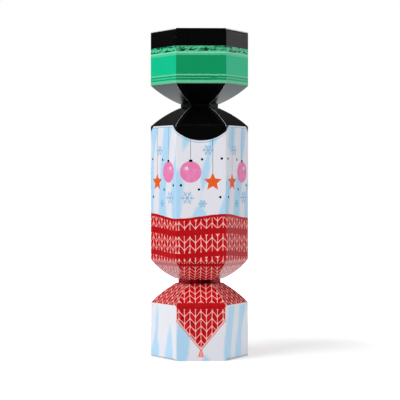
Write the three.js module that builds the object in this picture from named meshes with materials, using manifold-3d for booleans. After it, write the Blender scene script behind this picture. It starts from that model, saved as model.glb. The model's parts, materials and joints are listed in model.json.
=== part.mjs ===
// A folding carton in the shape of a cracker, with a bag of gummy bears inside.
// Millimetres, +Z up. The origin is the middle of the base and the front panel faces -Y.

import * as THREE from 'three';
import { mergeVertices } from 'three/addons/utils/BufferGeometryUtils.js';
import Module from 'manifold-3d';

const wasm = await Module();
wasm.setup();

// Board and clearances
const BOARD = 0.5; // thickness of the coated paperboard
const GAP = 0.3; // clearance between neighbouring pieces
const SLIT = 0.3; // what is left open between two neck strips once the neck is pinched

// Carton, outside sizes
const SIDE = 30; // width of each of the six upright panels
const FOOT_WALL = 33.1; // height of the foot up to its shoulder
const LOWER_NECK = 26.4; // height of the lower neck from shoulder to shoulder
const BODY_WALL = 81.5; // height of the body between its shoulders
const UPPER_NECK = 24.9; // height of the upper neck from shoulder to shoulder
const CAP_WALL = 32.9; // height of the cap above its shoulder
const LOWER_WAIST_SIDE = 12.2; // width of a strip at the waist of the lower neck
const UPPER_WAIST_SIDE = 10.7; // width of a strip at the waist of the upper neck
const WAIST_HEIGHT = 2.2; // height of the upright waist in each neck
const LOWER_BULGE = 1.6; // how far a trapezoid of the lower neck bows out from flat
const UPPER_BULGE = 1; // how far a trapezoid of the upper neck bows out from flat
const BULGE_STEPS = 4; // facets in the bow of a trapezoid

// Neck ties
const TIE_THICKNESS = 0.7; // how thick the band is, outwards
const TIE_CORNER = 1.6; // radius of the band where it turns round a strip's edge
const TIE_CORNER_STEPS = 3; // facets in that turn

// Flaps of the two ends
const FLAP_INSET = 1.2; // how far a flap stays short of each end of its crease
const DUST_FLAP = 13; // depth of a dust flap
const DUST_TIP = 9.4; // width of a dust flap at its inner end
const TUCK_FLAP = 11; // depth of the tuck flap
const TUCK_WIDTH = 27; // width of the tuck flap at its crease
const TUCK_TAPER = 3; // how much the tuck flap narrows at each end
const TUCK_LEAN = 10; // degrees that the lid's tuck flap leans away from the front panel
const GLUE_FLAP = 9; // width of the flaps that close the side seam

// Candy bag
const BAG_CLEARANCE = 2.3; // room between the bag and the glue flap
const FILM = 0.3; // thickness of the film tube
const BAG_POINTS = 18; // points round each ring of the film tube
const BAG_SHOULDER = 8; // height over which the tube flattens into its top seal
const BAG_FOLD = 1.5; // height of the rounded bottom edge
const SLOT_HALF_WIDTH = 0.9; // half the thickness of the tube where it is flattened
const SEAL_HEIGHT = 8; // height of the crimped seals
const SEAL_THICKNESS = 0.8; // thickness of the crimped seals
const SEAL_SPREAD = 2.1; // how far the flattened film stands out past the round tube at each side
const BOTTOM_INSET = 2.4; // how far the bottom seal, folded flat, stays inside the tube at each side
const SEAM_WIDTH = 8; // width of the back seam
const HEADROOM = 1; // room between the top seal and the body's upper shoulder

// Gummy bears
const BEAR_LENGTH = 20.8; // from the feet to the ears
const BEAR_WIDTH = 12; // across the arms
const BEAR_THICKNESS = 10.4; // from the back to the belly
const BEAR_GAP = 0.4; // room between two bears
const BEAR_CORNER = 1.4; // how far a bear's rounded corners stay short of its box
const BEAR_COUNT = 24; // bears in the bag

const ROOT3 = Math.sqrt(3);
const TURN = Math.PI / 3;
const APOTHEM = (SIDE * ROOT3) / 2;
const SIDES = ['front', 'front_right', 'back_right', 'back', 'back_left', 'front_left'];
const FRONT = 0;
const BACK = 3;
const DUST_SIDES = [1, 2, 4, 5];
const SEAM_SIDE = 4;

// Levels of the creases
const FOOT_TOP = FOOT_WALL;
const BODY_BOTTOM = FOOT_TOP + LOWER_NECK;
const BODY_TOP = BODY_BOTTOM + BODY_WALL;
const CAP_BOTTOM = BODY_TOP + UPPER_NECK;
const TOP = CAP_BOTTOM + CAP_WALL;

// Finishes
const finish = (color, roughness) => new THREE.MeshStandardMaterial({ color, roughness, metalness: 0 });
const BLACK_BOARD = finish(0x0a0b0c, 0.25);
const GREEN_BOARD = finish(0x129a68, 0.3);
const WHITE_BOARD = finish(0xe6e9ee, 0.3);
const RED_BOARD = finish(0xc0161f, 0.3);
const RAW_BOARD = finish(0xe9e6df, 0.85);
const BLACK_TIE = finish(0x141316, 0.2);
const CRIMSON_TIE = finish(0x8a1024, 0.2);
const CLEAR_FILM = finish(0xe8eef2, 0.15);
const GUMMIES = [0xc8201c, 0x2f9a3c, 0xf2c230, 0xee7d1e, 0xf3ead2].map((color) => finish(color, 0.35));

const part = new THREE.Group();

function place(name, geometry, material) {
  const mesh = new THREE.Mesh(geometry, material);
  mesh.name = name;
  part.add(mesh);
  return mesh;
}

// Closed geometry to a solid that can be cut, and back
function solid(geometry) {
  const bare = geometry.clone();
  bare.deleteAttribute('normal');
  bare.deleteAttribute('uv');
  const merged = mergeVertices(bare, 1e-4);
  const vertProperties = new Float32Array(merged.attributes.position.array);
  const triVerts = new Uint32Array(merged.index.array);
  return new wasm.Manifold(new wasm.Mesh({ numProp: 3, vertProperties, triVerts }));
}

function geometryOf(manifold) {
  const mesh = manifold.getMesh();
  const geometry = new THREE.BufferGeometry();
  geometry.setAttribute('position', new THREE.BufferAttribute(mesh.vertProperties, 3));
  geometry.setIndex(new THREE.BufferAttribute(mesh.triVerts, 1));
  geometry.computeVertexNormals();
  return geometry;
}

// An upright prism on a plan outline, with an optional hole
function prism(outline, low, high, hole) {
  const shape = new THREE.Shape(outline);
  if (hole) shape.holes.push(new THREE.Path(hole));
  const geometry = new THREE.ExtrudeGeometry(shape, { depth: high - low, bevelEnabled: false });
  return geometry.translate(0, 0, low);
}

// Plan directions: out of a side, along a side, and towards the corner before a side
const sideAngle = (side) => side * TURN - Math.PI / 2;
const polar = (angle, length) => new THREE.Vector2(Math.cos(angle) * length, Math.sin(angle) * length);
const outOf = (side) => polar(sideAngle(side), 1);
const along = (side) => polar(sideAngle(side) + Math.PI / 2, 1);
const corner = (side, length) => polar(sideAngle(side) - TURN / 2, length);

// A hexagon whose sides lie at the given distances from the axis, front first
function hexagon(distances) {
  return distances.map((distance, side) => {
    const next = distances[(side + 1) % 6];
    const slide = (next - distance * Math.cos(TURN)) / Math.sin(TURN);
    return outOf(side).multiplyScalar(distance).addScaledVector(along(side), slide);
  });
}

const evenHexagon = (distance) => hexagon(Array(6).fill(distance));

// A hexagon with round corners
function roundHexagon(distance, radius) {
  const centres = evenHexagon(distance - radius);
  return centres.flatMap((centre, side) =>
    Array.from({ length: TIE_CORNER_STEPS + 1 }, (_, step) => {
      const angle = sideAngle(side) + (TURN * step) / TIE_CORNER_STEPS;
      return polar(angle, radius).add(centre);
    }),
  );
}

// The pie slice of the plan from one side to another, well past the walls
function slice(first, last, low, high) {
  const outline = [new THREE.Vector2(0, 0)];
  for (let side = first; side <= last + 1; side += 1) outline.push(corner(side, 2 * SIDE));
  return solid(prism(outline, low, high));
}

// A line moved to its left by a distance, with mitred corners; its two ends are left out
function offsetInner(line, distance) {
  return line.slice(1, -1).map((point, index) => {
    const before = point.clone().sub(line[index]).normalize();
    const after = line[index + 2].clone().sub(point).normalize();
    const left = new THREE.Vector2(-before.y - after.y, before.x + after.x).normalize();
    const reach = distance / (left.x * -before.y + left.y * before.x);
    return point.clone().addScaledVector(left, reach);
  });
}

// A bowed trapezoid seen from the side, as points (distance from the axis, height)
function bow(from, to, bulge) {
  const middle = from.clone().add(to).divideScalar(2);
  const run = to.clone().sub(from).normalize();
  const control = middle.add(new THREE.Vector2(run.y, -run.x).multiplyScalar(2 * bulge));
  return new THREE.QuadraticBezierCurve(from, control, to).getPoints(BULGE_STEPS);
}

// A neck seen from the side: the outer and inner faces of one strip
function neckProfile(bottom, height, waistSide, bulge) {
  const waist = (waistSide * ROOT3) / 2;
  const middle = bottom + height / 2;
  const low = new THREE.Vector2(waist, middle - WAIST_HEIGHT / 2);
  const high = new THREE.Vector2(waist, middle + WAIST_HEIGHT / 2);
  const start = new THREE.Vector2(APOTHEM, bottom);
  const end = new THREE.Vector2(APOTHEM, bottom + height);
  const outer = [...bow(start, low, bulge), ...bow(high, end, bulge)];
  const under = new THREE.Vector2(APOTHEM, bottom - 1);
  const above = new THREE.Vector2(APOTHEM, bottom + height + 1);
  const inner = offsetInner([under, ...outer, above], BOARD);
  return { outer, inner, waist, middle };
}

const lowerNeck = neckProfile(FOOT_TOP, LOWER_NECK, LOWER_WAIST_SIDE, LOWER_BULGE);
const upperNeck = neckProfile(BODY_TOP, UPPER_NECK, UPPER_WAIST_SIDE, UPPER_BULGE);

// One hourglass strip of board, cut to its sixth of the plan
function neckStrip(neck, side) {
  const section = new THREE.Shape([...neck.outer, ...neck.inner.toReversed()]);
  const geometry = new THREE.ExtrudeGeometry(section, { depth: SIDE, bevelEnabled: false });
  geometry.translate(0, 0, -SIDE / 2);
  const out = outOf(side);
  const across = along(side);
  const basis = new THREE.Matrix4().makeBasis(
    new THREE.Vector3(out.x, out.y, 0),
    new THREE.Vector3(0, 0, 1),
    new THREE.Vector3(-across.x, -across.y, 0),
  );
  geometry.applyMatrix4(basis);
  const apex = out.clone().multiplyScalar(SLIT);
  const wedge = [apex, corner(side, 2 * SIDE).add(apex), corner(side + 1, 2 * SIDE).add(apex)];
  const low = neck.outer[0].y - SIDE;
  const high = neck.outer.at(-1).y + SIDE;
  return geometryOf(solid(geometry).intersect(solid(prism(wedge, low, high))));
}

function makeNeck(name, neck, material, tieMaterial) {
  SIDES.forEach((side, index) => place(`${name}_neck_strip_${side}`, neckStrip(neck, index), material));
  const inside = neck.waist + GAP;
  const outline = roundHexagon(inside + TIE_THICKNESS, TIE_CORNER);
  const hole = roundHexagon(inside, TIE_CORNER - TIE_THICKNESS);
  const low = neck.middle - WAIST_HEIGHT / 2;
  place(`${name}_neck_tie`, prism(outline, low, low + WAIST_HEIGHT, hole), tieMaterial);
}

// A length of hexagonal tube
const tube = (low, high) => solid(prism(evenHexagon(APOTHEM), low, high, evenHexagon(APOTHEM - BOARD)));

// Depths below an end's outer face: under the lid, and under the dust flaps
const UNDER_LID = BOARD + GAP;
const UNDER_FLAPS = 2 * UNDER_LID;

// Takes the room for the lid and the dust flaps out of a wall's end
function trimEnd(wall, face, inward) {
  const cut = (first, last, depth) => {
    const levels = [face + inward * depth, face - inward * SIDE].sort((a, b) => a - b);
    return slice(first, last, levels[0], levels[1]);
  };
  return wall
    .subtract(cut(1, 5, UNDER_LID))
    .subtract(cut(1, 2, UNDER_FLAPS))
    .subtract(cut(4, 5, UNDER_FLAPS));
}

// The flap that closes the side seam, flat against the inside of one panel
function glueFlap(low, high) {
  const geometry = new THREE.BoxGeometry(BOARD, GLUE_FLAP, high - low);
  const reach = APOTHEM - BOARD - GAP - BOARD / 2;
  const edge = reach / ROOT3 - GAP - GLUE_FLAP / 2;
  geometry.translate(reach, -edge, (low + high) / 2);
  return geometry.rotateZ(sideAngle(SEAM_SIDE));
}

// A flat piece at one end, between two depths below the end's outer face
function plate(outline, face, inward, near, far) {
  const levels = [face + inward * near, face + inward * far].sort((a, b) => a - b);
  return prism(outline, levels[0], levels[1]);
}

// A dust flap seen from above, folded in from the outside of its panel
function dustOutline(side) {
  const half = SIDE / 2 - FLAP_INSET;
  const narrow = DUST_TIP / 2;
  const rim = [
    [half, 0],
    [half, BOARD],
    [narrow, DUST_FLAP],
    [-narrow, DUST_FLAP],
    [-half, BOARD],
    [-half, 0],
  ];
  const out = outOf(side);
  const across = along(side);
  return rim.map(([sideways, depth]) =>
    out.clone().multiplyScalar(APOTHEM - depth).addScaledVector(across, sideways),
  );
}

// The tuck flap hangs from the end panel's front edge, behind the front panel
function tuckFlap(face, inward, lean) {
  const half = TUCK_WIDTH / 2;
  const low = half - TUCK_TAPER;
  const outline = new THREE.Shape();
  outline.moveTo(half, 0);
  outline.lineTo(half, TUCK_FLAP / 2);
  outline.quadraticCurveTo(half, TUCK_FLAP, low, TUCK_FLAP);
  outline.lineTo(-low, TUCK_FLAP);
  outline.quadraticCurveTo(-half, TUCK_FLAP, -half, TUCK_FLAP / 2);
  outline.lineTo(-half, 0);
  const geometry = new THREE.ExtrudeGeometry(outline, { depth: BOARD, bevelEnabled: false, curveSegments: 4 });
  geometry.rotateX(inward > 0 ? Math.PI / 2 : -Math.PI / 2);
  if (inward > 0) geometry.translate(0, BOARD, 0);
  geometry.rotateX(-inward * THREE.MathUtils.degToRad(lean));
  return geometry.translate(0, -(APOTHEM - UNDER_LID), face + inward * UNDER_LID);
}

// A closed end: the end panel, its front flap and four dust flaps
function makeEnd(face, inward, names, lean, material) {
  const distances = SIDES.map((_, side) => {
    if (side === FRONT) return APOTHEM - UNDER_LID;
    return side === BACK ? APOTHEM : APOTHEM - GAP;
  });
  place(names.panel, plate(hexagon(distances), face, inward, 0, BOARD), material);
  place(names.front, tuckFlap(face, inward, lean), material);
  DUST_SIDES.forEach((side) => {
    const flap = plate(dustOutline(side), face, inward, UNDER_LID, UNDER_LID + BOARD);
    place(`${names.dust}_${SIDES[side]}`, flap, material);
  });
}

// The height at which the lower neck's inside is as wide as a given distance from the axis
function funnelLevel(distance) {
  const wall = lowerNeck.inner.filter((point) => point.y > lowerNeck.middle);
  const index = wall.findIndex((point) => point.x >= distance);
  const above = wall[index];
  const below = wall[index - 1];
  const share = (distance - below.x) / (above.x - below.x);
  return below.y + share * (above.y - below.y);
}

const BAG_RADIUS = APOTHEM - BOARD - UNDER_LID - BAG_CLEARANCE;
const BAG_LOW = funnelLevel(BAG_RADIUS + GAP);
const BAG_FLOOR = BAG_LOW - BAG_FOLD;
const SEAL_TOP = BODY_TOP - HEADROOM;
const SLOT_LEVEL = SEAL_TOP - SEAL_HEIGHT - GAP;
const BAG_HIGH = SLOT_LEVEL - BAG_SHOULDER;

// The film tube, as elliptical rings up the outside and down the inside
function filmTube() {
  const rings = [
    [BAG_FLOOR, BAG_RADIUS - BOTTOM_INSET, SLOT_HALF_WIDTH],
    [BAG_FLOOR + 0.15 * BAG_FOLD, 0.94 * BAG_RADIUS, 0.45 * BAG_RADIUS],
    [BAG_FLOOR + 0.4 * BAG_FOLD, 0.965 * BAG_RADIUS, 0.8 * BAG_RADIUS],
    [BAG_LOW, BAG_RADIUS, BAG_RADIUS],
    [BAG_HIGH, BAG_RADIUS, BAG_RADIUS],
    [BAG_HIGH + 0.45 * BAG_SHOULDER, BAG_RADIUS + 0.4 * SEAL_SPREAD, 0.78 * BAG_RADIUS],
    [BAG_HIGH + 0.8 * BAG_SHOULDER, BAG_RADIUS + 0.8 * SEAL_SPREAD, 0.35 * BAG_RADIUS],
    [SLOT_LEVEL, BAG_RADIUS + SEAL_SPREAD, SLOT_HALF_WIDTH],
  ];
  const within = rings.map(([level, wide, deep], index) => {
    const folded = index > 0 && index < 3;
    return [level + (folded ? FILM : 0), wide - FILM, deep - FILM];
  });
  return loft([...rings, ...within.reverse()]);
}

// A closed skin through elliptical rings, the last joined back to the first
function loft(rings) {
  const positions = rings.flatMap(([level, wide, deep]) =>
    Array.from({ length: BAG_POINTS }, (_, step) => {
      const angle = (2 * Math.PI * step) / BAG_POINTS;
      return [wide * Math.cos(angle), deep * Math.sin(angle), level];
    }).flat(),
  );
  const index = [];
  rings.forEach((_, ring) => {
    const next = (ring + 1) % rings.length;
    for (let step = 0; step < BAG_POINTS; step += 1) {
      const beside = (step + 1) % BAG_POINTS;
      const here = ring * BAG_POINTS;
      const there = next * BAG_POINTS;
      index.push(here + step, here + beside, there + beside);
      index.push(here + step, there + beside, there + step);
    }
  });
  const geometry = new THREE.BufferGeometry();
  geometry.setAttribute('position', new THREE.Float32BufferAttribute(positions, 3));
  geometry.setIndex(index);
  geometry.computeVertexNormals();
  return geometry;
}

function makeBag() {
  place('bag_film_tube', filmTube(), CLEAR_FILM);
  const topWidth = 2 * (BAG_RADIUS + SEAL_SPREAD);
  const topSeal = new THREE.BoxGeometry(topWidth, SEAL_THICKNESS, SEAL_HEIGHT);
  place('bag_top_seal', topSeal, CLEAR_FILM).position.z = SEAL_TOP - SEAL_HEIGHT / 2;
  const bottomWidth = 2 * (BAG_RADIUS - BOTTOM_INSET);
  const bottomSeal = new THREE.BoxGeometry(bottomWidth, SEAL_HEIGHT, SEAL_THICKNESS);
  place('bag_bottom_seal', bottomSeal, CLEAR_FILM).position.z = BAG_FLOOR - GAP - SEAL_THICKNESS / 2;
  const seamLow = funnelLevel(BAG_RADIUS + SEAL_THICKNESS + 2 * GAP) + GAP;
  const seam = new THREE.BoxGeometry(SEAM_WIDTH, SEAL_THICKNESS, BAG_HIGH - seamLow);
  const middle = (BAG_HIGH + seamLow) / 2;
  place('bag_back_seam', seam, CLEAR_FILM).position.set(0, BAG_RADIUS + GAP + SEAL_THICKNESS / 2, middle);
}

// One gummy bear with its back flat, head towards +X, in a box with its middle at the origin
function bearGeometry() {
  const lump = (x, y, z, long, wide, thick, around, rings) => {
    const ball = new THREE.SphereGeometry(1, around, rings).rotateX(Math.PI / 2);
    return solid(ball.scale(long, wide, thick).translate(x, y, z));
  };
  const bear = lump(-1.4, 0, 0, 7.8, 6.2, 5.8, 6, 4)
    .add(lump(5.0, 0, 0.2, 5.2, 5.4, 5.4, 6, 4))
    .add(lump(8.3, 3.2, 0.3, 2.6, 2.4, 2.4, 4, 3))
    .add(lump(8.3, -3.2, 0.3, 2.6, 2.4, 2.4, 4, 3))
    .add(lump(0.9, 4.3, 2.2, 3.4, 2.4, 3.2, 4, 3))
    .add(lump(0.9, -4.3, 2.2, 3.4, 2.4, 3.2, 4, 3))
    .add(lump(-6.9, 3.3, 1.2, 4.0, 3.3, 4.2, 4, 3))
    .add(lump(-6.9, -3.3, 1.2, 4.0, 3.3, 4.2, 4, 3));
  const moulded = 9;
  const backLift = 0.5;
  const mould = new THREE.BoxGeometry(BEAR_LENGTH * 2, BEAR_WIDTH * 2, moulded).translate(0, 0, backLift);
  const geometry = geometryOf(bear.intersect(solid(mould)));
  geometry.computeBoundingBox();
  const box = geometry.boundingBox;
  const size = box.getSize(new THREE.Vector3());
  const centre = box.getCenter(new THREE.Vector3());
  geometry.translate(-centre.x, -centre.y, -centre.z);
  return geometry.scale(BEAR_LENGTH / size.x, BEAR_WIDTH / size.y, BEAR_THICKNESS / size.z);
}

// Where the bears of one layer lie: rows across the bag, as many bears in each as fit
function layerPlaces(radius) {
  const rowPitch = BEAR_WIDTH + BEAR_GAP;
  const rows = Math.floor((radius - BEAR_WIDTH / 2 + BEAR_CORNER) / rowPitch);
  const places = [];
  for (let row = -rows; row <= rows; row += 1) {
    const away = Math.abs(row) * rowPitch + BEAR_WIDTH / 2 - BEAR_CORNER;
    const room = 2 * Math.sqrt(radius * radius - away * away) + 2 * BEAR_CORNER;
    const count = Math.floor((room + BEAR_GAP) / (BEAR_LENGTH + BEAR_GAP));
    for (let index = 0; index < count; index += 1) {
      const x = (index - (count - 1) / 2) * (BEAR_LENGTH + BEAR_GAP);
      places.push([x, row * rowPitch]);
    }
  }
  return places;
}

function makeBears() {
  const geometry = bearGeometry();
  const layerPitch = BEAR_THICKNESS + BEAR_GAP;
  const places = layerPlaces(BAG_RADIUS - FILM - BEAR_GAP / 2);
  const layers = Math.floor((BAG_HIGH - BAG_LOW) / layerPitch);
  let made = 0;
  for (let layer = 0; layer < layers; layer += 1) {
    const level = new THREE.Group();
    level.position.z = BAG_LOW + BEAR_THICKNESS / 2 + layer * layerPitch;
    level.rotation.z = layer * TURN;
    part.add(level);
    for (const [x, y] of places) {
      if (made === BEAR_COUNT) return;
      made += 1;
      const bear = new THREE.Mesh(geometry, GUMMIES[made % GUMMIES.length]);
      bear.name = `gummy_bear_${String(made).padStart(2, '0')}`;
      bear.position.set(x, y, 0);
      bear.rotation.set(made % 3 === 0 ? Math.PI : 0, 0, x < 0 || made % 2 ? Math.PI : 0);
      level.add(bear);
    }
  }
}

// The walls stop short of the necks' mitred ends
const footTop = lowerNeck.inner[0].y - GAP;
const bodyBottom = lowerNeck.inner.at(-1).y + GAP;
const bodyTop = upperNeck.inner[0].y - GAP;
const capBottom = upperNeck.inner.at(-1).y + GAP;

place('foot_wall', geometryOf(trimEnd(tube(0, footTop), 0, 1)), WHITE_BOARD);
place('body_wall', geometryOf(tube(bodyBottom, bodyTop)), WHITE_BOARD);
place('cap_wall', geometryOf(trimEnd(tube(capBottom, TOP), TOP, -1)), GREEN_BOARD);

place('foot_glue_flap', glueFlap(UNDER_FLAPS + GAP, footTop - GAP), RAW_BOARD);
place('body_glue_flap', glueFlap(bodyBottom + GAP, bodyTop - GAP), RAW_BOARD);
place('cap_glue_flap', glueFlap(capBottom + GAP, TOP - UNDER_FLAPS - GAP), RAW_BOARD);

makeNeck('lower', lowerNeck, RED_BOARD, CRIMSON_TIE);
makeNeck('upper', upperNeck, BLACK_BOARD, BLACK_TIE);

const TOP_NAMES = { panel: 'top_lid', front: 'lid_tuck_flap', dust: 'top_dust_flap' };
const BASE_NAMES = { panel: 'base_panel', front: 'base_glued_flap', dust: 'base_dust_flap' };
makeEnd(TOP, -1, TOP_NAMES, TUCK_LEAN, BLACK_BOARD);
makeEnd(0, 1, BASE_NAMES, 0, WHITE_BOARD);

makeBag();
makeBears();

export default part;
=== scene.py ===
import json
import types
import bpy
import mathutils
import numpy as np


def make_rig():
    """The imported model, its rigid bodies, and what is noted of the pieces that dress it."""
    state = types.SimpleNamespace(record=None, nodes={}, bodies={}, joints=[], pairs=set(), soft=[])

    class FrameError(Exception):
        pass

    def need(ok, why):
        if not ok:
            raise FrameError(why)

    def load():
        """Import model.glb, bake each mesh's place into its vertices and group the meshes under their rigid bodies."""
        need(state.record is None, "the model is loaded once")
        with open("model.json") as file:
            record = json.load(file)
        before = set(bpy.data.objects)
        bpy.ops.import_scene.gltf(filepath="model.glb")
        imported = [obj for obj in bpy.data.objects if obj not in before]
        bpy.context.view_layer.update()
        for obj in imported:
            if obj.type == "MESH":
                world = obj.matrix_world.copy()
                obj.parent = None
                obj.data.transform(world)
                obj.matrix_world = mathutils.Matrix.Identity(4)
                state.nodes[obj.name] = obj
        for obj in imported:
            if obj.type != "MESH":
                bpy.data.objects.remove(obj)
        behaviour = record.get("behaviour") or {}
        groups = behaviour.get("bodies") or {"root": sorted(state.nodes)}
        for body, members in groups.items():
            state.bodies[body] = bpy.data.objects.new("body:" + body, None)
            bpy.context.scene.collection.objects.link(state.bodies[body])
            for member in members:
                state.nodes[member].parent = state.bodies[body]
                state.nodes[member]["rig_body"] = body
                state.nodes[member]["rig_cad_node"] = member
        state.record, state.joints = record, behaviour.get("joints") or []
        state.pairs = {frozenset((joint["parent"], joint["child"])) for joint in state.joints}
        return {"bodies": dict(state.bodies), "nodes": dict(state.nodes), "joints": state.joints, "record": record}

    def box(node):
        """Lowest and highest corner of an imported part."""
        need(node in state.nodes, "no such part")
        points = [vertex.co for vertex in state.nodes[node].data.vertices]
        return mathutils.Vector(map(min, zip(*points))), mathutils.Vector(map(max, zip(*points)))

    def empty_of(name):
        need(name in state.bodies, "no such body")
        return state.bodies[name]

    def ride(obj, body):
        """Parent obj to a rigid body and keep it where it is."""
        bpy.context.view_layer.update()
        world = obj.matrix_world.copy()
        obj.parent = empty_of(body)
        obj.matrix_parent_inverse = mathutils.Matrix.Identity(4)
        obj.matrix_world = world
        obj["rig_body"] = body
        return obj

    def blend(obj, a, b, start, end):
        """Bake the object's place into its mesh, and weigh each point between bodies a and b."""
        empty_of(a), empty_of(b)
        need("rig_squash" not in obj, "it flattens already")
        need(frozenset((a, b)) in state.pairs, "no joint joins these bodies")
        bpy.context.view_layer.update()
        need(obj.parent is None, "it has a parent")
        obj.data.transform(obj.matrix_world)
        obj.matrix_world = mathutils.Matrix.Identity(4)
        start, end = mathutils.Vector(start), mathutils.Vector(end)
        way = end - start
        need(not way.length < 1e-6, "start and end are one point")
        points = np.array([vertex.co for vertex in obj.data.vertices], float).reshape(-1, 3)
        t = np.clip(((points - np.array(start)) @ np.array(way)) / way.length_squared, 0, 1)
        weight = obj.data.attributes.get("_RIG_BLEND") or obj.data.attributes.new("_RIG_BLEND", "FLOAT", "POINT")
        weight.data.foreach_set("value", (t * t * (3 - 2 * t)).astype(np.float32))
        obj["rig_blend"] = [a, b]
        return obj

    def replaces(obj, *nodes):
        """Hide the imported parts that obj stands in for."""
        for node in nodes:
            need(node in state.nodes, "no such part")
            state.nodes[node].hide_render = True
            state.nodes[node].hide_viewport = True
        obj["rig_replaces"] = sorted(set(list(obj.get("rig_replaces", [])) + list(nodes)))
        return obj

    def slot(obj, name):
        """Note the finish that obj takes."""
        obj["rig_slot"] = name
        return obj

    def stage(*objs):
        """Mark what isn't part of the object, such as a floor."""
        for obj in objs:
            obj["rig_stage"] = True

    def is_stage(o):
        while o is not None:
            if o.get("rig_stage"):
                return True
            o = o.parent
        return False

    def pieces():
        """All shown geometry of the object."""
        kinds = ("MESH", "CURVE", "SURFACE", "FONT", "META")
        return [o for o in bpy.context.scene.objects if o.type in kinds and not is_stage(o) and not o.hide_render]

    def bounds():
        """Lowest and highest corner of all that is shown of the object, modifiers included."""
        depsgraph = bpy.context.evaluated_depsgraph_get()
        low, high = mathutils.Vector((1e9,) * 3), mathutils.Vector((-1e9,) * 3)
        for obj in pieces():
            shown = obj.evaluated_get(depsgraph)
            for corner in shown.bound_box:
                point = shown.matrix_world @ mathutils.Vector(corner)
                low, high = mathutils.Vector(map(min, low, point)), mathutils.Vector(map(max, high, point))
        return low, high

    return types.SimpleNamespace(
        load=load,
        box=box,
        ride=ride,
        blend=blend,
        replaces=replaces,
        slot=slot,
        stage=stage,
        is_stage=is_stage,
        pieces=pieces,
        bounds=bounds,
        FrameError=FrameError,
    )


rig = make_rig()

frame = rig.load()

import json
import math
from itertools import accumulate
from types import SimpleNamespace

import bmesh
import bpy
from mathutils import Matrix, Vector, noise

bl_info = {
    "name": "Cracker carton",
    "version": (1, 0, 0),
    "blender": (4, 5, 0),
    "location": "View3D > Sidebar > Cracker",
    "description": "A hexagonal cracker-shaped carton of printed board with a bag of gummy bears inside",
    "category": "Add Mesh",
}

CAD_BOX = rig.bounds()
ROOT3 = math.sqrt(3)
TURN = math.pi / 3
MM = 0.001
SIDES = ("front", "front_right", "back_right", "back", "back_left", "front_left")
FRONT, BACK, SEAM_SIDE = 0, 3, 4
DUST_SIDES = (1, 2, 4, 5)
CARTON = "carton"
PRINT_MAP = "print"

# Sizes and counts that aren't settings, in metres
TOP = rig.box("top_lid")[1][2]
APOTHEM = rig.box("body_wall")[1][1]
SIDE = 2 * APOTHEM / ROOT3
RIM = 0.8 * MM  # rounding of a crease at an end
BEND = 1.4 * MM  # height of board that bends with a crease at an end
UNDER_PANEL = 0.6 * MM  # depth of the dust flaps under an end panel
LAST_ROW = 23.8 * MM  # where only the ears of an end panel go on
BASE_RIM = 0.55 * MM  # rounding of the creases of the base's dust flaps
LEAST_RADIUS = 0.25 * MM  # least inner radius of an upright crease
SEAM_GAP = 0.25 * MM  # open slit where the side seam closes
GLUE_CLEAR = 0.3 * MM  # between a glue flap and the panels round it
SMALL_ROUND = 0.35 * MM  # rounding of the board against the ties
WALL_ROW = 3.2 * MM  # height of one row of faces of a wall
END_ROWS = 3 * MM  # run of the finer rows at a closed end
FADE = 6 * MM  # run over which a panel's hollow fades out at its ends
WAVES_ACROSS, WAVES_UP = 35, 22  # waves of a panel's hollow in a metre
FILM_ROW, FILM_COLUMNS = 1.6 * MM, 120  # height of one row of faces of the film, and its faces all round
LOW_SLACK, HIGH_SLACK = 5 * MM, 7 * MM  # run over which the film grows slack, from each of its ends
FLAP_CLEAR = 0.05 * MM  # between a dust flap's edge and the cut beside it
TIE_CLEAR = 0.06 * MM  # between a neck strip and its tie
EAR_CLEAR = 0.08 * MM  # between an end panel's ears and the outer face of the walls
BACK_CLEAR = 0.1 * MM  # between a bent crease on the back panel and the upright creases
TUCK_CLEAR = 0.04 * MM  # between a front flap and the ears beside it
BEAR_SIZE = (20.8 * MM, 12 * MM, 10.4 * MM)  # head to foot, across, and back to belly
BEARS_IN_LAYER = 4
LAMP_AIM = Vector((0, 0, 0.1))  # about the middle of the carton

# The width of a panel and the levels of the creases, in millimetres, as the prints use them
PANEL = SIDE / MM
FOOT_TOP, BODY_BOTTOM, BODY_TOP, CAP_BOTTOM = 33.1, 59.5, 141.0, 165.9

# Linear colours of shading and small marks
SHADED_WHITE = (0.78, 0.785, 0.85)
SCUFFED_WHITE = (0.70, 0.69, 0.68)
CLOUDED_BOARD = (0.70, 0.69, 0.66)
FLECK = (0.42, 0.38, 0.33)
FLAKE_BLUE = (0.26, 0.5, 0.74)


# Settings


def length(name, text, millimetres):
    return bpy.props.FloatProperty(name=name, description=text, default=millimetres * MM, min=0,
                                   subtype="DISTANCE", unit="LENGTH")


def angle(name, text, degrees):
    return bpy.props.FloatProperty(name=name, description=text, default=math.radians(degrees),
                                   subtype="ANGLE", unit="ROTATION")


def colour(name, text, value):
    linear = [c / 12.92 if c <= 0.04045 else ((c + 0.055) / 1.055) ** 2.4 for c in (x / 255 for x in value)]
    return bpy.props.FloatVectorProperty(name=name, description=text, default=linear, min=0, max=1,
                                         subtype="COLOR")


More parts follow.
